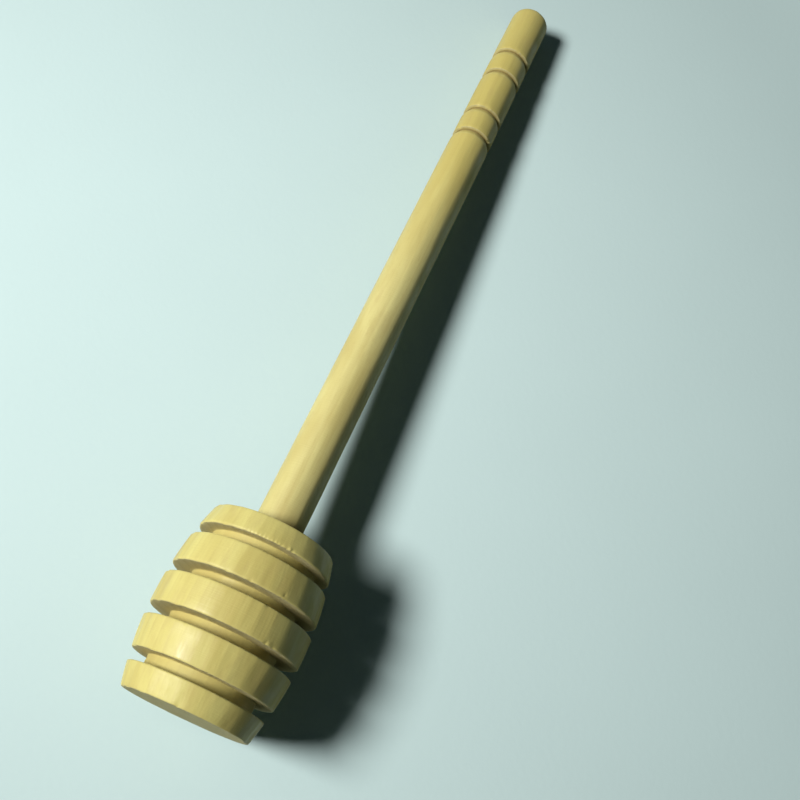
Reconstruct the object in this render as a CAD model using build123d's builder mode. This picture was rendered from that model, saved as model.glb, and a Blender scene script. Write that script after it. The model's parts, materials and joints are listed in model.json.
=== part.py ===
from build123d import *

import os
from math import asin, atan2, cos, hypot, sin, sqrt

# Turned wooden honey dipper, in millimetres, lying on its side as it rests on a table.
# +Z is up and +X runs from the tip of the head towards the end of the handle.
# The origin is on the table, under the middle of the dipper.

# Whole dipper, from the tip of the head to the end of the handle
overall_length = 156.0

# Head: one barrel-shaped outline, cut into discs by grooves
head_length = 29.2
belly_radius = 12.3
belly_place = 14.8
barrel_arc_radius = 52.0
end_disc_width = 3.55
groove_count = 4
groove_width = 1.9
groove_floor_radius = 8.7
rim_round = 0.25

# Handle: a straight stick with a flared foot and a rounded end
handle_radius = 4.0
foot_flare = 0.5
foot_land = 0.15
end_round = 1.6

# Two pairs of V grooves near the end of the handle, placed from that end
inner_pair_from_end = 35.0
outer_pair_from_end = 17.7
pair_spacing = 6.2
notch_width = 1.6
notch_depth = 0.7

# Glued joint: a tenon on the handle in a blind socket in the shoulder of the head
tenon_step = 1.0
tenon_chamfer = 0.6
socket_depth = 18.0
glue_gap = 0.1
glue_pool = 1.0

# Along the dipper, measured from the tip
disc_count = groove_count + 1
inner_disc_width = (head_length - 2 * end_disc_width - groove_count * groove_width) / (disc_count - 2)
groove_pitch = inner_disc_width + groove_width
groove_starts = [end_disc_width + i * groove_pitch for i in range(groove_count)]
disc_starts = [0] + [start + groove_width for start in groove_starts]
disc_ends = groove_starts + [head_length]
socket_floor = head_length - socket_depth
tenon_start = socket_floor + glue_pool
cove_end = head_length + foot_land + foot_flare
pair_places = [overall_length - inner_pair_from_end, overall_length - outer_pair_from_end]
notch_places = [place + side * pair_spacing / 2 for place in pair_places for side in (-1, 1)]

# Across the dipper
foot_radius = handle_radius + foot_flare
tenon_radius = handle_radius - tenon_step
socket_radius = tenon_radius + glue_gap
barrel_centre_radius = belly_radius - barrel_arc_radius


def barrel_radius(place, inset=0):
    """Radius of the barrel outline at a place along the head, moved inwards by inset."""
    return barrel_centre_radius + sqrt((barrel_arc_radius - inset) ** 2 - (place - belly_place) ** 2)


# The dipper rests on its largest rim and on the rounded end of its handle. Each is a circle in the
# lengthwise section, and the table is the line that touches both of them.
end_circle = (overall_length - end_round, handle_radius - end_round, end_round)


def rim_circle(place):
    """Centre and radius of the small round on a disc's rim, from the place of its centre."""
    return (place, barrel_radius(place, rim_round), rim_round)


def tilt_on(circle):
    """Tilt of the dipper, in radians, when it rests on this circle and on the handle's end."""
    run = end_circle[0] - circle[0]
    drop = circle[1] - end_circle[1]
    return atan2(drop, run) - asin((end_circle[2] - circle[2]) / hypot(drop, run))


rim_places = [start + rim_round for start in disc_starts] + [end - rim_round for end in disc_ends]
rest_tilt = max(tilt_on(rim_circle(place)) for place in rim_places)

# Where the table touches the barrel between two rims of one disc, that is the contact instead.
side_tilt = tilt_on((belly_place, barrel_centre_radius, barrel_arc_radius))
side_place = belly_place + barrel_arc_radius * sin(side_tilt)
if any(start + rim_round < side_place < end - rim_round for start, end in zip(disc_starts, disc_ends)):
    rest_tilt = side_tilt

# Height of the tip's centre above the table, and the stretch of X that the tilted dipper covers
tip_height = end_circle[0] * sin(rest_tilt) + end_circle[1] * cos(rest_tilt) + end_round
tip_circle = rim_circle(rim_round)
lowest_x = tip_circle[0] * cos(rest_tilt) - tip_circle[1] * sin(rest_tilt) - rim_round
highest_x = end_circle[0] * cos(rest_tilt) + end_circle[1] * sin(rest_tilt) + end_round

# Lathe plane: its X runs along the dipper from the tip's centre, and its Y is the radius
tip_centre = Vector(-(lowest_x + highest_x) / 2, 0, tip_height)
along = Vector(cos(rest_tilt), 0, -sin(rest_tilt))
lathe_plane = Plane(origin=tip_centre, x_dir=along, z_dir=(0, -1, 0))
lathe_axis = Axis(origin=tip_centre, direction=along)

# Head: the barrel, its grooves and its socket as one turned profile
with BuildPart() as head:
    with BuildSketch(lathe_plane) as head_profile:
        with BuildLine():
            ThreePointArc(
                (0, barrel_radius(0)),
                (belly_place, belly_radius),
                (head_length, barrel_radius(head_length)),
            )
            Polyline(
                (head_length, barrel_radius(head_length)),
                (head_length, 0),
                (0, 0),
                (0, barrel_radius(0)),
            )
        make_face()
        with Locations(*[(start, groove_floor_radius) for start in groove_starts]):
            Rectangle(groove_width, belly_radius, align=(Align.MIN, Align.MIN), mode=Mode.SUBTRACT)
        rims = [v for v in head_profile.vertices() if v.Y > groove_floor_radius + rim_round]
        fillet(rims, radius=rim_round)
        with Locations((socket_floor, 0)):
            Rectangle(socket_depth, socket_radius, align=(Align.MIN, Align.MIN), mode=Mode.SUBTRACT)
    revolve(axis=lathe_axis)

# Handle: tenon, flared foot, stick, V grooves and rounded end
with BuildPart() as handle:
    with BuildSketch(lathe_plane):
        with BuildLine():
            Polyline(
                (overall_length, 0),
                (tenon_start, 0),
                (tenon_start, tenon_radius - tenon_chamfer),
                (tenon_start + tenon_chamfer, tenon_radius),
                (head_length, tenon_radius),
                (head_length, foot_radius),
                (head_length + foot_land, foot_radius),
            )
            CenterArc((cove_end, foot_radius), foot_flare, 180, 90)
            Line((cove_end, handle_radius), (end_circle[0], handle_radius))
            CenterArc((end_circle[0], end_circle[1]), end_round, 90, -90)
            Line((overall_length, end_circle[1]), (overall_length, 0))
        make_face()
        with Locations(*[(place, handle_radius) for place in notch_places]):
            Polygon((-notch_width / 2, 0), (0, -notch_depth), (notch_width / 2, 0), mode=Mode.SUBTRACT)
    revolve(axis=lathe_axis)

# Glue: a thin cup that fills the socket around the tenon and under its end
with BuildPart() as glue_film:
    with BuildSketch(lathe_plane):
        with Locations((socket_floor, 0)):
            Rectangle(socket_depth, socket_radius, align=(Align.MIN, Align.MIN))
    revolve(axis=lathe_axis)
    add(handle.part, mode=Mode.SUBTRACT)

head.part.label = "head"
handle.part.label = "handle"
glue_film.part.label = "glue_film"

os.makedirs("parts", exist_ok=True)
export_step(head.part, "parts/head.step")
export_step(handle.part, "parts/handle.step")
export_step(glue_film.part, "parts/glue_film.step")
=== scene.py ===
import json
import random
from collections import namedtuple
from math import atan2, ceil, cos, exp, hypot, pi, radians, sin, sqrt, tan

import bmesh
import bpy
from mathutils import Matrix, Quaternion, Vector, noise


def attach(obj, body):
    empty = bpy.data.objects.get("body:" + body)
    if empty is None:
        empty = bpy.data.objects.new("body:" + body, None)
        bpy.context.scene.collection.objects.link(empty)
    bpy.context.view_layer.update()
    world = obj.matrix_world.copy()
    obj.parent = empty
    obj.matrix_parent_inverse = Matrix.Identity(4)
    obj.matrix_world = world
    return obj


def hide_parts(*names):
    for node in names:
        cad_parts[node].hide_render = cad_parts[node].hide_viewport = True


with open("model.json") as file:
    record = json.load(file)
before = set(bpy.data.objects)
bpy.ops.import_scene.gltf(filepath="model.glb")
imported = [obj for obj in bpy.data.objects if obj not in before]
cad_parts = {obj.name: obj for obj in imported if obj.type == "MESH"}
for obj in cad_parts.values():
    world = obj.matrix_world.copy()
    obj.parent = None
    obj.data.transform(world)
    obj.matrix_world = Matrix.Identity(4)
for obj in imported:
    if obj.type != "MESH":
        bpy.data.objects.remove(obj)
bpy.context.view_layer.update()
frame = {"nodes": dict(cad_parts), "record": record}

# The turned profile is in millimetres, measured from the tip along the dipper and out from its axis.
# MM turns it into metres, which every Blender object is in.
MM = 0.001
OVERALL_LENGTH = 156.0
HEAD_LENGTH = 29.2
BELLY_RADIUS = 12.3
BELLY_PLACE = 14.8
BARREL_ARC_RADIUS = 52.0
END_DISC_WIDTH = 3.55
GROOVE_COUNT = 4
GROOVE_WIDTH = 1.9
GROOVE_FLOOR_RADIUS = 8.7
HANDLE_RADIUS = 4.0
FOOT_FLARE = 0.5
FOOT_LAND = 0.15
END_ROUND = 1.6
INNER_PAIR_FROM_END = 35.0
OUTER_PAIR_FROM_END = 17.7
PAIR_SPACING = 6.2
NOTCH_WIDTH = 1.6
NOTCH_DEPTH = 0.7

# Small rounds that only the close-up surface has
RIM_ROUND = 0.22
GROOVE_CORNER_ROUND = 0.2
NOTCH_RIM_ROUND = 0.07
NOTCH_FLOOR_ROUND = 0.1

# Each notch leans: a gentle rounded shoulder on the head's side, and a steep wall on the other
NOTCH_LEAN = 0.62
NOTCH_SHOULDER_ROUND = 1.4

# The dipper's axis, from the centre of the tip face to the end of the handle, as the record has it.
# In the lathe's own frame X runs along the dipper, and angle 90 degrees is the side that is up.
tip_face = next(m for m in frame["record"]["mounts"] if m["name"] == "tip_face")
TIP_CENTRE = Vector(tip_face["pos_m"])
ALONG = -Vector(tip_face["axis"]).normalized()
SIDEWAYS = Vector((0, 1, 0))
UPWARD = ALONG.cross(SIDEWAYS)
LATHE = Matrix.Translation(TIP_CENTRE) @ Matrix((ALONG, SIDEWAYS, UPWARD)).transposed().to_4x4()


def smooth_step(low, high, value):
    """0 at low and beyond it, 1 at high and beyond it, and an even curve between."""
    t = min(max((value - low) / (high - low), 0.0), 1.0)
    return t * t * (3 - 2 * t)


def barrel_radius(place):
    """Radius of the head's barrel outline at a place along it."""
    return BELLY_RADIUS - BARREL_ARC_RADIUS + sqrt(BARREL_ARC_RADIUS ** 2 - (place - BELLY_PLACE) ** 2)


def wrapped(place, angle, rates):
    """A spot in noise that changes along the dipper and round it, and closes after a full turn."""
    along, around = rates
    return Vector((place * along, cos(angle) * around, sin(angle) * around))


def add_object(name, data):
    made = bpy.data.objects.new(name, data)
    bpy.context.scene.collection.objects.link(made)
    return made


# Turned outlines
# A corner's round is the radius of the arc that replaces it, and its tag names the stretch after it.
Corner = namedtuple("Corner", "place radius round tag")
ROUND_POINTS = 5


def arc_points(before, corner, after):
    """Points of the arc that rounds a corner."""
    middle = Vector(corner[:2])
    to_before = (Vector(before[:2]) - middle).normalized()
    to_after = (Vector(after[:2]) - middle).normalized()
    half_angle = to_before.angle(to_after) / 2
    reach = corner.round / tan(half_angle)
    centre = middle + (to_before + to_after).normalized() * (corner.round / sin(half_angle))
    first = middle + to_before * reach - centre
    last = middle + to_after * reach - centre
    turn = atan2(first.cross(last), first.dot(last))
    steps = ROUND_POINTS - 1
    return [centre + Matrix.Rotation(turn * k / steps, 2) @ first for k in range(ROUND_POINTS)]


def turned_outline(corners, step):
    """Points (place, radius, tag) along the corners, step apart or less. Rounds are tagged as rims."""
    points = [(Vector(corners[0][:2]), corners[0].tag)]
    for before, corner, after in zip(corners, corners[1:], corners[2:]):
        if corner.round:
            tags = [before.tag] + ["rim"] * (ROUND_POINTS - 2) + [corner.tag]
            points += zip(arc_points(before, corner, after), tags)
        else:
            points.append((Vector(corner[:2]), corner.tag))
    points.append((Vector(corners[-1][:2]), corners[-2].tag))
    outline = [(*points[0][0], points[0][1])]
    for (start, tag), (end, end_tag) in zip(points, points[1:]):
        pieces = max(1, ceil((end - start).length / step))
        for k in range(1, pieces + 1):
            outline.append((*start.lerp(end, k / pieces), end_tag if k == pieces else tag))
    return outline


def shares_travelled(outline):
    """How far along the outline each of its points is, from 0 to 1."""
    travelled = [0.0]
    for (x0, r0, _), (x1, r1, _) in zip(outline, outline[1:]):
        travelled.append(travelled[-1] + hypot(x1 - x0, r1 - r0))
    return [distance / travelled[-1] for distance in travelled]


def lathe_rings(build, outline, segments, shape):
    """One ring of vertices for each point of the outline."""
    rim_layer = build.verts.layers.float.new("rim")
    cut_shade_layer = build.verts.layers.float.new("cut_shade")
    rings = []
    for place, radius, tag in outline:
        ring = []
        for k in range(segments):
            angle = 2 * pi * k / segments
            x, r, rim, cut_shade = shape(place, radius, angle, tag)
            vertex = build.verts.new((x * MM, r * cos(angle) * MM, r * sin(angle) * MM))
            vertex[rim_layer] = rim
            vertex[cut_shade_layer] = cut_shade
            ring.append(vertex)
        rings.append(ring)
    return rings


def add_walls(build, rings, outline, uv_layer):
    """The faces between the rings."""
    segments = len(rings[0])
    travelled = shares_travelled(outline)
    for i, (low, high) in enumerate(zip(rings, rings[1:])):
        for k in range(segments):
            after = (k + 1) % segments
            face = build.faces.new((low[k], high[k], high[after], low[after]))
            across = (k / segments, k / segments, (k + 1) / segments, (k + 1) / segments)
            down = (travelled[i], travelled[i + 1], travelled[i + 1], travelled[i])
            for loop, u, v in zip(face.loops, across, down):
                loop[uv_layer].uv = (u, v)


def add_ends(build, rings, outline, uv_layer):
    """Fans of faces that close the first and last rings on the axis."""
    segments = len(rings[0])
    for ring, end, v in ((rings[0], outline[0], 0.0), (rings[-1], outline[-1], 1.0)):
        centre = build.verts.new((end[0] * MM, 0, 0))
        for k in range(segments):
            face = build.faces.new((ring[k], ring[(k + 1) % segments], centre))
            for loop, u in zip(face.loops, (k / segments, (k + 1) / segments, (k + 0.5) / segments)):
                loop[uv_layer].uv = (u, v)


def lathe_piece(name, outline, segments, shape):
    """A closed turned mesh that follows the outline.

    shape(place, radius, angle, tag) gives the finished place and radius of each point, then its rim
    and cut shade values, which the wood reads. A rim of 1 is a worn rim, also painted paler as a
    highlight. The cut shade value is painted shade: at 1 the wood is painted as the shaded floor of a
    cut, and at 2 or more it is painted darker still.
    """
    mesh = bpy.data.meshes.new(name)
    piece = add_object(name, mesh)
    build = bmesh.new()
    uv_layer = build.loops.layers.uv.new("OFBake")
    rings = lathe_rings(build, outline, segments, shape)
    add_walls(build, rings, outline, uv_layer)
    add_ends(build, rings, outline, uv_layer)
    bmesh.ops.recalc_face_normals(build, faces=build.faces)
    for face in build.faces:
        face.smooth = True
    build.to_mesh(mesh)
    build.free()
    piece.matrix_world = LATHE
    return piece


# Flats that a chattering tool leaves round a turned surface
# The shares are of a usual flat's width, and of the depth of a true flat: less than 1 is still a little
# round, and more is hollow.
FACET_WIDTH_SHARES = (0.6, 1.45)
FACET_DEPTH_SHARES = (0.3, 1.05)
RIDGE_WEAR = 0.6


def uneven_facets(radius, width, seed):
    """The flats' start angles, end angles and depths, all the way round."""
    draw = random.Random(seed)
    facets = []
    start = 0.0
    while start < 2 * pi:
        end = min(start + width / radius * draw.uniform(*FACET_WIDTH_SHARES), 2 * pi)
        flat_depth = radius * (1 - cos((end - start) / 2))
        facets.append((start, end, flat_depth * draw.uniform(*FACET_DEPTH_SHARES)))
        start = end
    return facets


def facet_drop(facets, angle):
    """Depth of the flat below the round surface at an angle, with worn ridges between flats."""
    angle %= 2 * pi
    start, end, depth = next(facet for facet in reversed(facets) if facet[0] <= angle)
    across = (angle - start) / (end - start) * 2 - 1
    return depth * (1 - across ** 2) * (1 - RIDGE_WEAR * across ** 2)


# Head
HEAD_SEGMENTS = 400
HEAD_STEP = 0.42
SMALLEST_RING = 0.4

# Where along a disc its side has corners on the barrel's curve, as shares of its width
SIDE_SHARES = (0.25, 0.5, 0.75)

# Depths below the barrel's outline: where the painted shade in a groove starts and is darkest, where the
# flats start to fade, to be gone at the darkest depth, and how deep a round may lie and still be a rim
GROOVE_SHADE_START = 0.2
GROOVE_SHADE_DARKEST = 3.2
FLATS_FADE = 1.5
RIM_DEPTH = 1.0

# The last stretch before the shoulder, which no groove is in
SHOULDER_STRETCH = 1.0

# Unevenness of the surface, as heights in millimetres and rates at which noise changes per millimetre.
# The ripples and rings are sines, with their rates and the ripple's wander in radians.
FLOOR_RIPPLE = 0.03
FLOOR_RIPPLE_RATE = 9
FLOOR_RIPPLE_WANDER = 2
FLOOR_WANDER_RATE = 0.7
FLOOR_UNEVEN = 0.04
FACE_RING = 0.008
FACE_RING_RATE = 11
FACE_UNEVEN = 0.03
CUT_UNEVEN_RATE = 0.35
SIDE_UNEVEN = 0.04
SIDE_UNEVEN_RATE = 0.2
RIM_GRIT = 0.02
RIM_GRIT_RATE = 0.7

# The head's flats: how far their ridges waver, in radians, and what share of their depth they keep, on
# average and as it varies. The pairs of rates are for wrapped, along the dipper and round it.
RIDGE_WAVER = 0.03
RIDGE_WAVER_RATES = (0.15, 2)
FACET_STRENGTH = 0.9
FACET_VARIATION = 0.9
FACET_VARIATION_RATES = (0.25, 4)
FACET_WIDTH = 2.2
FACET_SEED = 5
head_facets = uneven_facets(BELLY_RADIUS, FACET_WIDTH, FACET_SEED)

# Torn spots on the rims: place along the head, angle in degrees, width and depth. Less than 0 is raised.
TORN_RIMS = [
    (25.65, 108.0, 0.3, 0.14),
    (25.9, 110.0, 0.22, -0.1),
    (25.65, 112.5, 0.26, 0.12),
    (18.92, 76.0, 0.3, 0.1),
    (18.92, 93.5, 0.35, 0.14),
    (12.18, 122.0, 0.35, 0.16),
    (12.4, 124.0, 0.2, -0.07),
    (12.18, 129.0, 0.25, 0.1),
    (12.18, 53.0, 0.3, 0.1),
    (10.28, 67.0, 0.25, 0.1),
    (17.02, 112.0, 0.3, 0.1),
    (0.0, 86.0, 0.3, 0.1),
    (3.55, 238.0, 0.4, 0.2),
    (17.02, 305.0, 0.3, 0.16),
    (23.75, 212.0, 0.4, 0.2),
    (29.2, 271.0, 0.35, 0.15),
]

# A row of small ticks where the tool skipped along the shoulder disc's rim
TICK_COUNT = 10
TICK_PLACE = 25.85
TICK_START = 74.0
TICK_PITCH = 3.2
TICK_WIDTH = 0.17
TICK_DEPTH = 0.1
TICKS = [(TICK_PLACE, TICK_START + TICK_PITCH * k, TICK_WIDTH, TICK_DEPTH) for k in range(TICK_COUNT)]

# Small pits in the sides of the discs, given like the torn spots
PITS = [
    (19.5, 120.0, 0.24, 0.14),
    (8.9, 248.0, 0.3, 0.12),
    (14.2, 330.0, 0.25, 0.1),
]
MARKS = TORN_RIMS + TICKS + PITS

# A mark is felt out to this many times its width
MARK_REACH = 3


def head_corners():
    """Corners of the head's outline, from the middle of the tip to the middle of the shoulder."""
    inner_width = (HEAD_LENGTH - 2 * END_DISC_WIDTH - GROOVE_COUNT * GROOVE_WIDTH) / (GROOVE_COUNT - 1)
    corners = [Corner(0, SMALLEST_RING, 0, "face")]
    start = 0
    for disc in range(GROOVE_COUNT + 1):
        end_disc = disc in (0, GROOVE_COUNT)
        end = start + (END_DISC_WIDTH if end_disc else inner_width)
        corners.append(Corner(start, barrel_radius(start), RIM_ROUND, "side"))
        for share in SIDE_SHARES:
            place = start + (end - start) * share
            corners.append(Corner(place, barrel_radius(place), 0, "side"))
        corners.append(Corner(end, barrel_radius(end), RIM_ROUND, "face"))
        if disc < GROOVE_COUNT:
            corners.append(Corner(end, GROOVE_FLOOR_RADIUS, GROOVE_CORNER_ROUND, "floor"))
            corners.append(Corner(end + GROOVE_WIDTH, GROOVE_FLOOR_RADIUS, GROOVE_CORNER_ROUND, "face"))
        start = end + GROOVE_WIDTH
    corners.append(Corner(HEAD_LENGTH, SMALLEST_RING, 0, "face"))
    return corners


def marks_depth(place, radius, angle):
    """Depth of the small marks at a point on the head."""
    depth = 0.0
    for mark_place, mark_angle, width, mark_depth in MARKS:
        if abs(place - mark_place) > width * MARK_REACH:
            continue
        turn = (angle - radians(mark_angle) + pi) % (2 * pi) - pi
        depth += mark_depth * exp(-(hypot(place - mark_place, turn * radius) / width) ** 2)
    return depth


def groove_shade(place, depth):
    """The painted shade in the grooves, darker the deeper a point lies. It is 0 on the tip disc, its wall
    included, and at the shoulder.
    """
    if END_DISC_WIDTH <= place < HEAD_LENGTH - SHOULDER_STRETCH:
        return smooth_step(GROOVE_SHADE_START, GROOVE_SHADE_DARKEST, depth)
    return 0.0


def floor_radius(place, radius, spot):
    """Radius of a groove's rippled floor."""
    wander = FLOOR_RIPPLE_WANDER * noise.noise(spot * FLOOR_WANDER_RATE)
    ripple = FLOOR_RIPPLE * sin(place * FLOOR_RIPPLE_RATE + wander)
    return radius + ripple + FLOOR_UNEVEN * noise.noise(spot * CUT_UNEVEN_RATE)


def face_place(place, radius, spot):
    """Place of a face that crosses the grain, with fine turned rings."""
    rings = FACE_RING * sin(radius * FACE_RING_RATE) + FACE_UNEVEN * noise.noise(spot * CUT_UNEVEN_RATE)
    return place + rings


def side_drop(place, angle, spot):
    """How far the wavering flats put a disc's side below the barrel's outline."""
    waver = RIDGE_WAVER * noise.noise(wrapped(place, angle, RIDGE_WAVER_RATES))
    drop = facet_drop(head_facets, angle + waver)
    drop *= FACET_STRENGTH + FACET_VARIATION * noise.noise(wrapped(place, angle, FACET_VARIATION_RATES))
    return drop - SIDE_UNEVEN * noise.noise(spot * SIDE_UNEVEN_RATE)


def head_shape(place, radius, angle, tag):
    """The turned head's surface: chatter flats, ragged rims, torn spots and tool marks."""
    spot = Vector((place, radius * cos(angle), radius * sin(angle)))
    depth = barrel_radius(place) - radius
    # Painted shade in the grooves, darker the deeper the point lies
    cut_shade = groove_shade(place, depth)
    if tag == "floor":
        return place, floor_radius(place, radius, spot), 0.0, cut_shade
    if tag == "face":
        return face_place(place, radius, spot), radius, 0.0, cut_shade
    rim = 1.0 if tag == "rim" and depth < RIM_DEPTH else 0.0
    drop = side_drop(place, angle, spot)
    drop += rim * RIM_GRIT * max(0.0, noise.noise(spot * RIM_GRIT_RATE))
    drop += marks_depth(place, radius, angle)
    return place, radius - drop * smooth_step(GROOVE_SHADE_DARKEST, FLATS_FADE, depth), rim, cut_shade


def make_head():
    outline = turned_outline(head_corners(), HEAD_STEP)
    piece = lathe_piece("head_turned", outline, HEAD_SEGMENTS, head_shape)
    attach(piece, "root")
    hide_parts("head")
    return piece


# Handle
HANDLE_SEGMENTS = 180
HANDLE_STEP = 0.9
FOOT_STEPS = 6
END_STEPS = 8

# The cut shade value on a notch's floor, where shade is painted into the notch, and the painted shade at
# the handle's foot on top. That shade is gone at angle 0, towards the lamp, twice as strong at angle 180,
# away from it, and fades along the handle over its reach.
NOTCH_SHADE = 1.9
FOOT_SHADE = 2.3
FOOT_SHADE_REACH = 2.4

# Unevenness of the handle, given like the head's. The rates of the unevenness and of the end multiply
# HANDLE_RATES, and the flats keep a share of their depth.
HANDLE_RATES = (0.09, 0.8)
HANDLE_RIDGE_WAVER = 0.1
HANDLE_UNEVEN = 0.025
HANDLE_UNEVEN_RATE = 2
NOTCH_GRIT = 0.05
NOTCH_GRIT_RATE = 1.4
END_UNEVEN = 0.02
END_UNEVEN_RATE = 9
HANDLE_FACET_WIDTH = 2.3
HANDLE_FACET_SHARE = 0.22
HANDLE_FACET_SEED = 6
handle_facets = uneven_facets(HANDLE_RADIUS, HANDLE_FACET_WIDTH, HANDLE_FACET_SEED)


def handle_corners():
    """Corners of the handle's outline, from its seat on the head to the middle of its end."""
    foot_radius = HANDLE_RADIUS + FOOT_FLARE
    cove_start = HEAD_LENGTH + FOOT_LAND
    corners = [Corner(HEAD_LENGTH, SMALLEST_RING, 0, "seat"), Corner(HEAD_LENGTH, foot_radius, 0, "foot")]
    for k in range(FOOT_STEPS + 1):
        turn = pi / 2 * k / FOOT_STEPS
        place = cove_start + FOOT_FLARE * (1 - cos(turn))
        tag = "foot" if k < FOOT_STEPS else "side"
        corners.append(Corner(place, foot_radius - FOOT_FLARE * sin(turn), 0, tag))
    for pair_from_end in (INNER_PAIR_FROM_END, OUTER_PAIR_FROM_END):
        for side in (-1, 1):
            middle = OVERALL_LENGTH - pair_from_end + side * PAIR_SPACING / 2
            floor = middle + NOTCH_LEAN
            corners.append(Corner(middle - NOTCH_WIDTH / 2, HANDLE_RADIUS, NOTCH_SHOULDER_ROUND, "notch"))
            corners.append(Corner(floor, HANDLE_RADIUS - NOTCH_DEPTH, NOTCH_FLOOR_ROUND, "notch"))
            corners.append(Corner(middle + NOTCH_WIDTH / 2, HANDLE_RADIUS, NOTCH_RIM_ROUND, "side"))
    for k in range(END_STEPS + 1):
        turn = pi / 2 * k / END_STEPS
        place = OVERALL_LENGTH - END_ROUND * (1 - sin(turn))
        corners.append(Corner(place, HANDLE_RADIUS - END_ROUND * (1 - cos(turn)), 0, "end"))
    corners.append(Corner(OVERALL_LENGTH, SMALLEST_RING, 0, "end"))
    return corners


def handle_shade(place, radius, angle, tag):
    """The painted shade at the handle's foot and in the notches."""
    # Painted shade where the handle meets the head, strongest on the side away from the lamp
    cut_shade = FOOT_SHADE * (1 - cos(angle)) * exp(-(place - HEAD_LENGTH) / FOOT_SHADE_REACH)
    if tag in ("notch", "rim"):
        # Painted shade in the notches, darkest on their floors
        cut_shade += NOTCH_SHADE * smooth_step(0.0, NOTCH_DEPTH, HANDLE_RADIUS - radius)
    return cut_shade


def handle_shape(place, radius, angle, tag):
    """The turned stick's surface: soft flats, slow ripples and slightly ragged notch rims."""
    if tag == "seat":
        return place, radius, 0.0, 0.0
    wrap = wrapped(place, angle, HANDLE_RATES)
    waver = HANDLE_RIDGE_WAVER * noise.noise(wrap)
    drop = HANDLE_FACET_SHARE * facet_drop(handle_facets, angle + waver)
    drop += HANDLE_UNEVEN * noise.noise(wrap * HANDLE_UNEVEN_RATE)
    rim = 1.0 if tag == "rim" and radius > HANDLE_RADIUS - NOTCH_DEPTH / 2 else 0.0
    spot = Vector((place, radius * cos(angle), radius * sin(angle)))
    drop += NOTCH_GRIT * rim * max(0.0, noise.noise(spot * NOTCH_GRIT_RATE))
    cut_shade = handle_shade(place, radius, angle, tag)
    if tag == "end":
        place += END_UNEVEN * noise.noise(wrap * END_UNEVEN_RATE)
    return place, radius - drop * smooth_step(0, HANDLE_RADIUS / 2, radius), rim, cut_shade


def make_handle():
    outline = turned_outline(handle_corners(), HANDLE_STEP)
    piece = lathe_piece("handle_turned", outline, HANDLE_SEGMENTS, handle_shape)
    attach(piece, "root")
    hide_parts("handle")
    return piece


# Materials


class Nodes:
    """Adds nodes to a tree, with plain values or other nodes' sockets as their inputs."""

    def __init__(self, tree):
        self.tree = tree

    def node(self, kind, inputs=(), **settings):
        made = self.tree.nodes.new("ShaderNode" + kind)
        for key, value in settings.items():
            setattr(made, key, value)
        for key, value in dict(inputs).items():
            self.feed(made.inputs[key], value)
        return made

    def feed(self, socket, value):
        """Gives a socket its input. A plain colour is red, green and blue, and is made opaque."""
        if isinstance(value, bpy.types.NodeSocket):
            self.tree.links.new(value, socket)
        elif socket.type == "RGBA":
            socket.default_value = (*value, 1.0)
        else:
            socket.default_value = value

    def math(self, operation, a, b=0.0, c=0.0):
        return self.node("Math", {0: a, 1: b, 2: c}, operation=operation).outputs[0]

    def times(self, a, b):
        return self.math("MULTIPLY", a, b)

    def times_plus(self, a, b, c):
        """a times b, plus c."""
        return self.math("MULTIPLY_ADD", a, b, c)

    def stretch(self, vector, scale, shift=(0, 0, 0)):
        return self.node("Mapping", {"Vector": vector, "Scale": scale, "Location": shift}).outputs[0]

    def millimetres(self, vector, shift=(0, 0, 0)):
        return self.stretch(vector, (1 / MM, 1 / MM, 1 / MM), shift)

    def noise(self, vector, scale=1.0, detail=3.0, roughness=0.5):
        inputs = {"Vector": vector, "Scale": scale, "Detail": detail, "Roughness": roughness}
        return self.node("TexNoise", inputs).outputs["Fac"]

    def grain(self, spot, rates, detail, roughness=0.5):
        """Noise at the given rates along the dipper and across it."""
        along, across = rates
        return self.noise(self.stretch(spot, (along, across, across)), detail=detail, roughness=roughness)

    def ramp(self, value, low, high):
        """0 at low and beyond it, 1 at high and beyond it, and an even curve between."""
        inputs = {"Value": value, "From Min": low, "From Max": high}
        return self.node("MapRange", inputs, interpolation_type="SMOOTHSTEP").outputs["Result"]

    def mix(self, share, a, b, blend="MIX"):
        made = self.node("Mix", data_type="RGBA", blend_type=blend)
        self.feed(made.inputs["Factor"], share)
        for socket, value in ((made.inputs[6], a), (made.inputs[7], b)):
            self.feed(socket, value)
        return made.outputs[2]

    def lay(self, base, amount, strength, colour):
        """A colour laid over a base, where there is an amount of it."""
        return self.mix(self.times(amount, strength), base, colour)

    def bump(self, height, depth):
        """A bump whose height of 1 stands depth metres above its height of 0."""
        return self.node("Bump", {"Height": height, "Distance": depth, "Strength": 1.0}).outputs["Normal"]

    def seen_directly(self):
        """1 for what the camera sees, also in a reflection or through glass, and 0 for light."""
        path = self.node("LightPath").outputs
        seen = self.math("ADD", path["Is Camera Ray"], path["Is Glossy Ray"])
        return self.math("MINIMUM", self.math("ADD", seen, path["Is Transmission Ray"]), 1.0)


class Shader(Nodes):
    """The nodes of a new material."""

    def __init__(self, name):
        self.material = bpy.data.materials.new(name)
        self.material.use_nodes = True
        super().__init__(self.material.node_tree)
        self.surface = self.tree.nodes["Principled BSDF"].inputs


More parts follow.
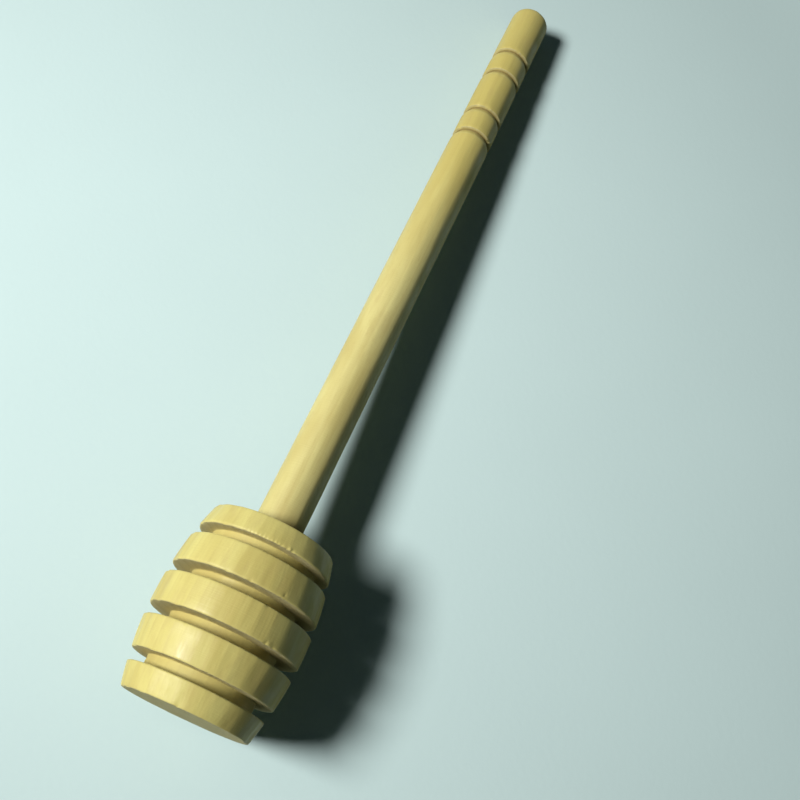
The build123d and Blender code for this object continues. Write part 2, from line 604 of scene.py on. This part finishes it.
# Wood
# Each board wanders between a pale and a warm colour. The pith is where the tree's centre was, across
# the grain, and the shift picks a place in the noise, in millimetres like the width of the rings.
HEAD_BOARD = {
    "pale": (0.63, 0.555, 0.182),
    "warm": (0.53, 0.44, 0.13),
    "pith": (-46.0, 31.0),
    "shift": (0, 0, 0),
    "ring_width": 2.1,
}
HANDLE_BOARD = {
    "pale": (0.63, 0.56, 0.222),
    "warm": (0.53, 0.445, 0.158),
    "pith": (35.0, 28.0),
    "shift": (140.0, 60.0, -35.0),
    "ring_width": 1.6,
}
FIBRE_DARK = (0.46, 0.365, 0.10)
RING_LINE = (0.425, 0.32, 0.09)
# The next two colours are painted shade, laid where grooves, notches and the handle's foot are painted
# darker
CUT_SHADE_WOOD = (0.42, 0.34, 0.11)
DEEP_SHADE_WOOD = (0.25, 0.185, 0.06)
END_PALE = (0.57, 0.50, 0.24)
END_DARK = (0.42, 0.355, 0.155)
HELD_WOOD = (0.50, 0.405, 0.10)
STAINED = (0.44, 0.33, 0.12)

# Rates of the grain's noises per millimetre, along the dipper and across it
RING_WANDER_RATES = (0.012, 0.07)
BROAD_RATES = (0.045, 0.2)
FIBRE_RATES = (0.13, 2.4)
FLECK_RATES = (0.6, 4.2)
PORE_RATES = (5.0, 5.0)
STAIN_RATES = (0.12, 0.3)
BURNISH_RATES = (0.3, 0.45)
LATHE_LINE_RATES = (4.5, 0.25)

# Growth rings: how far they wander in millimetres, how steeply each darkens outwards, and the shares of
# its width between which its outer edge softens
RING_WANDER = 5.0
LATE_WOOD_POWER = 2.5
LATE_WOOD_EDGE = (1.0, 0.90)

# The values at which each layer starts to show and shows in full
END_GRAIN_SHOWS = (0.72, 0.93)
BROAD_SHOWS = (0.36, 0.66)
FIBRES_SHOW = (0.45, 0.72)
FLECKS_SHOW = (0.60, 0.72)
PORES_SHOW = (0.45, 0.75)
STAINS_SHOW = (0.50, 0.72)
# The deepest painted shade shows between these two cut shade values
DEEP_SHADE_SHOWS = (1.0, 2.0)

# The far end of the dipper has darkened where hands hold it, from one place to another
HELD_START = 75.0
HELD_END = 125.0

# How strongly each layer's colour covers what is under it
HELD_STRENGTH = 0.75
STAIN_STRENGTH = 0.3
FIBRE_STRENGTH = 0.12
RING_STRENGTH = 0.22
FLECK_STRENGTH = 0.18
END_PORE_STRENGTH = 0.6
END_RING_STRENGTH = 0.6
# How strongly painted shade darkens cuts, notches and the handle's foot
CUT_SHADE_STRENGTH = 0.62
# How strongly rims are painted paler, partly for wear and partly as a painted highlight
RIM_WEAR_AND_HIGHLIGHT_STRENGTH = 0.2

# Roughness of well burnished wood, and what each thing adds to it
LEAST_ROUGHNESS = 0.12
BURNISH_ROUGHNESS = 0.6
FIBRE_ROUGHNESS = 0.16
CUT_ROUGHNESS = 0.2
END_GRAIN_ROUGHNESS = 0.25

# How strongly the wood reflects, where 0.5 is the shader's plain value
WOOD_SPECULAR = 0.4

# Fine relief: each thing's share, and the height in metres of a share of 1
FIBRE_RELIEF = 0.7
LATHE_LINE_RELIEF = 0.35
PORE_RELIEF = 1.4
WOOD_RELIEF = 0.00005


def late_wood_lines(shader, spot, pith, ring_width):
    """How dark each growth ring is: strongest near its outer edge, and 0 at its inner one."""
    wander = shader.grain(spot, RING_WANDER_RATES, detail=2.0)
    parts = shader.node("SeparateXYZ", {"Vector": spot}).outputs
    off_y = shader.math("SUBTRACT", parts["Y"], pith[0])
    off_z = shader.math("SUBTRACT", parts["Z"], pith[1])
    radius = shader.math("SQRT", shader.times_plus(off_y, off_y, shader.times(off_z, off_z)))
    rings = shader.math("DIVIDE", shader.times_plus(wander, RING_WANDER, radius), ring_width)
    ring = shader.math("FRACT", rings)
    darkening = shader.math("POWER", ring, LATE_WOOD_POWER)
    return shader.times(darkening, shader.ramp(ring, *LATE_WOOD_EDGE))


def side_colour(shader, spot, board, held, fibres, late_wood):
    """Colour of the wood along the grain, from broad patches to short flecks."""
    pale, warm = board
    broad = shader.ramp(shader.grain(spot, BROAD_RATES, detail=3.0), *BROAD_SHOWS)
    stains = shader.ramp(shader.grain(spot, STAIN_RATES, detail=4.0, roughness=0.65), *STAINS_SHOW)
    flecks = shader.ramp(shader.grain(spot, FLECK_RATES, detail=2.0), *FLECKS_SHOW)
    colour = shader.mix(broad, pale, warm)
    colour = shader.lay(colour, held, HELD_STRENGTH, HELD_WOOD)
    colour = shader.lay(colour, stains, STAIN_STRENGTH, STAINED)
    colour = shader.lay(colour, shader.ramp(fibres, *FIBRES_SHOW), FIBRE_STRENGTH, FIBRE_DARK)
    colour = shader.lay(colour, late_wood, RING_STRENGTH, RING_LINE)
    return shader.lay(colour, flecks, FLECK_STRENGTH, RING_LINE)


def end_colour(shader, pores, late_wood):
    """Colour of the faces that cross the grain."""
    colour = shader.lay(END_PALE, shader.ramp(pores, *PORES_SHOW), END_PORE_STRENGTH, END_DARK)
    return shader.lay(colour, late_wood, END_RING_STRENGTH, END_DARK)


def worn_and_shaded_colour(shader, colour, pale, cut_shade):
    """Rims are paler, partly worn and partly a painted highlight. The cut shade value is painted shade:
    cuts, notches and the handle's foot are darker, and darker still where it passes 1.
    """
    rim = shader.node("Attribute", attribute_name="rim").outputs["Fac"]
    # Painted shade: grooves, notches and the handle's foot darken with their cut shade value, and darken
    # further past 1
    colour = shader.lay(colour, cut_shade, CUT_SHADE_STRENGTH, CUT_SHADE_WOOD)
    colour = shader.mix(shader.ramp(cut_shade, *DEEP_SHADE_SHOWS), colour, DEEP_SHADE_WOOD)
    # Paler rims: partly wear, partly a painted highlight
    return shader.lay(colour, rim, RIM_WEAR_AND_HIGHLIGHT_STRENGTH, pale)


def wood_roughness(shader, spot, fibres, cut_shade, end_grain):
    """Handling has burnished the wood in patches. Cuts and end grain are rough."""
    burnish = shader.grain(spot, BURNISH_RATES, detail=2.0)
    roughness = shader.times_plus(burnish, BURNISH_ROUGHNESS, LEAST_ROUGHNESS)
    roughness = shader.times_plus(fibres, FIBRE_ROUGHNESS, roughness)
    roughness = shader.times_plus(cut_shade, CUT_ROUGHNESS, roughness)
    return shader.times_plus(end_grain, END_GRAIN_ROUGHNESS, roughness)


def wood_relief(shader, spot, fibres, pores, end_grain):
    """Raised fibres, the lathe's fine lines, and pores in the end grain."""
    lathe_lines = shader.times(shader.grain(spot, LATHE_LINE_RATES, detail=2.0), LATHE_LINE_RELIEF)
    height = shader.math("ADD", shader.times(fibres, FIBRE_RELIEF), lathe_lines)
    end_pores = shader.times(pores, shader.times(end_grain, PORE_RELIEF))
    return shader.bump(shader.math("ADD", height, end_pores), WOOD_RELIEF)


def wood(name, pale, warm, pith, shift, ring_width):
    """Raw turned hardwood, in the lathe's frame in millimetres, with its grain along the dipper."""
    shader = Shader(name)
    coordinates = shader.node("TexCoord").outputs
    spot = shader.millimetres(coordinates["Object"], shift)
    along = shader.node("SeparateXYZ", {"Vector": spot}).outputs["X"]
    held = shader.ramp(along, HELD_START + shift[0], HELD_END + shift[0])
    facing = shader.node("SeparateXYZ", {"Vector": coordinates["Normal"]}).outputs["X"]
    end_grain = shader.ramp(shader.math("ABSOLUTE", facing), *END_GRAIN_SHOWS)
    shifted_pith = (pith[0] + shift[1], pith[1] + shift[2])
    late_wood = late_wood_lines(shader, spot, shifted_pith, ring_width)
    fibres = shader.grain(spot, FIBRE_RATES, detail=5.0, roughness=0.6)
    pores = shader.grain(spot, PORE_RATES, detail=4.0, roughness=0.7)
    cut_shade = shader.node("Attribute", attribute_name="cut_shade").outputs["Fac"]

    side = side_colour(shader, spot, (pale, warm), held, fibres, late_wood)
    colour = shader.mix(end_grain, side, end_colour(shader, pores, late_wood))
    shader.feed(shader.surface["Base Color"], worn_and_shaded_colour(shader, colour, pale, cut_shade))
    shader.feed(shader.surface["Roughness"], wood_roughness(shader, spot, fibres, cut_shade, end_grain))
    shader.feed(shader.surface["Normal"], wood_relief(shader, spot, fibres, pores, end_grain))
    shader.feed(shader.surface["Specular IOR Level"], WOOD_SPECULAR)
    return shader.material


# Dried glue, whose bubbles show in its colour, roughness and relief
GLUE_PALE = (0.78, 0.70, 0.42)
GLUE_AMBER = (0.66, 0.52, 0.26)
BUBBLE_RATE = 2.5
BUBBLE_ROUGHNESS = 0.2
GLUE_ROUGHNESS = 0.25
GLUE_RELIEF = 0.00003


def dried_glue():
    """Thin amber film of dried wood glue, with small bubbles."""
    shader = Shader("dried_glue")
    spot = shader.millimetres(shader.node("TexCoord").outputs["Object"])
    bubbles = shader.noise(spot, scale=BUBBLE_RATE, detail=2.0)
    shader.feed(shader.surface["Base Color"], shader.mix(bubbles, GLUE_PALE, GLUE_AMBER))
    roughness = shader.times_plus(bubbles, BUBBLE_ROUGHNESS, GLUE_ROUGHNESS)
    shader.feed(shader.surface["Roughness"], roughness)
    shader.feed(shader.surface["Normal"], shader.bump(bubbles, GLUE_RELIEF))
    return shader.material


# Stage
# A pale table, darker for bounced light, turns into the backdrop between the lit and the fade reach.
# Distances are in metres, and rates are per metre.
TABLE_COLOUR = (0.565, 0.71, 0.685)
TABLE_BOUNCE = (0.14, 0.18, 0.165)
BACKGROUND = (0.60, 0.76, 0.73)
TABLE_SIZE = 6.0
LIT_REACH = 0.1
FADE_REACH = 0.24
MOTTLE = 0.05
MOTTLE_RATE = 28.0
GRIT_RATE = 900.0
TABLE_ROUGHNESS = 0.8
TABLE_SPECULAR = 0.1
TABLE_RELIEF = 0.00002


def table_surface():
    """Matt sheet with a faint mottle."""
    shader = Shader("table_top")
    place = shader.node("TexCoord").outputs["Object"]
    seen = shader.seen_directly()
    tint = shader.times_plus(shader.noise(place, scale=MOTTLE_RATE, detail=4.0), MOTTLE, 1 - MOTTLE / 2)
    grey = shader.node("CombineColor", {0: tint, 1: tint, 2: tint}).outputs[0]
    colour = shader.mix(1.0, shader.mix(seen, TABLE_BOUNCE, TABLE_COLOUR), grey, "MULTIPLY")
    shader.feed(shader.surface["Base Color"], colour)
    shader.feed(shader.surface["Roughness"], TABLE_ROUGHNESS)
    shader.feed(shader.surface["Specular IOR Level"], TABLE_SPECULAR)
    grit = shader.noise(place, scale=GRIT_RATE, detail=3.0)
    shader.feed(shader.surface["Normal"], shader.bump(grit, TABLE_RELIEF))

    distance = shader.node("VectorMath", {0: place}, operation="LENGTH").outputs["Value"]
    away = shader.times(shader.ramp(distance, LIT_REACH, FADE_REACH), seen)
    near = shader.tree.nodes["Principled BSDF"].outputs[0]
    far = shader.node("Emission", {"Color": BACKGROUND, "Strength": 1.0}).outputs[0]
    blend = shader.node("MixShader", {0: away, 1: near, 2: far}).outputs[0]
    shader.feed(shader.tree.nodes["Material Output"].inputs["Surface"], blend)
    return shader.material


def make_table():
    bpy.ops.mesh.primitive_plane_add(size=TABLE_SIZE)
    table = bpy.context.object
    table.name = "table_top"
    table.data.materials.append(table_surface())


# Camera: hand-held and turned a little, above the tip and looking steeply down towards the handle
CAMERA_PLACE = Vector((-0.07717, -0.01086, 0.15709))
CAMERA_TARGET = Vector((-0.01361, -0.00884, 0.0))
CAMERA_ROLL = 0.40152
CAMERA_LENS = 41.54
SENSOR_WIDTH = 36.0
CLIP_START = 0.005

# Light: one soft oval lamp, high up on the dipper's left and past its tip, and a dim even fill
LAMP_PLACE = Vector((-0.151, 0.341, 0.401))
LAMP_AIM = Vector((0.01, -0.007, 0.0))
LAMP_LENGTH = 0.21
LAMP_WIDTH = 0.143
LAMP_POWER = 0.92
LAMP_BEAM = radians(85)
FILL_COLOUR = (0.6, 0.9, 1.0)
FILL_STRENGTH = 0.025


def aimed(place, target):
    """The turn of a camera or lamp that looks from a place at a target."""
    return (target - place).to_track_quat("-Z", "Y")


def make_camera():
    data = bpy.data.cameras.new("camera")
    data.sensor_width = SENSOR_WIDTH
    data.lens = CAMERA_LENS
    data.clip_start = CLIP_START
    camera = add_object("camera", data)
    camera.location = CAMERA_PLACE
    rolled = aimed(CAMERA_PLACE, CAMERA_TARGET) @ Quaternion((0, 0, 1), CAMERA_ROLL)
    camera.rotation_euler = rolled.to_euler()
    bpy.context.scene.camera = camera


def make_lamp():
    data = bpy.data.lights.new("lamp", "AREA")
    data.shape = "ELLIPSE"
    data.size = LAMP_LENGTH
    data.size_y = LAMP_WIDTH
    data.energy = LAMP_POWER
    data.spread = LAMP_BEAM
    lamp = add_object("lamp", data)
    lamp.location = LAMP_PLACE
    lamp.rotation_euler = aimed(LAMP_PLACE, LAMP_AIM).to_euler()
    lamp.visible_camera = False


def make_world():
    """The plain backdrop where the world is seen, and the fill for light."""
    world = bpy.data.worlds.new("studio")
    world.use_nodes = True
    nodes = Nodes(world.node_tree)
    fill = nodes.tree.nodes["Background"]
    nodes.feed(fill.inputs["Color"], FILL_COLOUR)
    nodes.feed(fill.inputs["Strength"], FILL_STRENGTH)
    backdrop = nodes.node("Background", {"Color": BACKGROUND, "Strength": 1.0})
    sources = {0: nodes.seen_directly(), 1: fill.outputs[0], 2: backdrop.outputs[0]}
    blend = nodes.node("MixShader", sources).outputs[0]
    nodes.feed(nodes.tree.nodes["World Output"].inputs["Surface"], blend)
    bpy.context.scene.world = world


head = make_head()
head.data.materials.append(wood("head_wood", **HEAD_BOARD))
handle = make_handle()
handle.data.materials.append(wood("handle_wood", **HANDLE_BOARD))
glue_film = frame["nodes"]["glue_film"]
glue_film.data.materials.clear()
glue_film.data.materials.append(dried_glue())
make_table()
make_camera()
make_lamp()
make_world()
bpy.context.scene.view_settings.view_transform = "Standard"
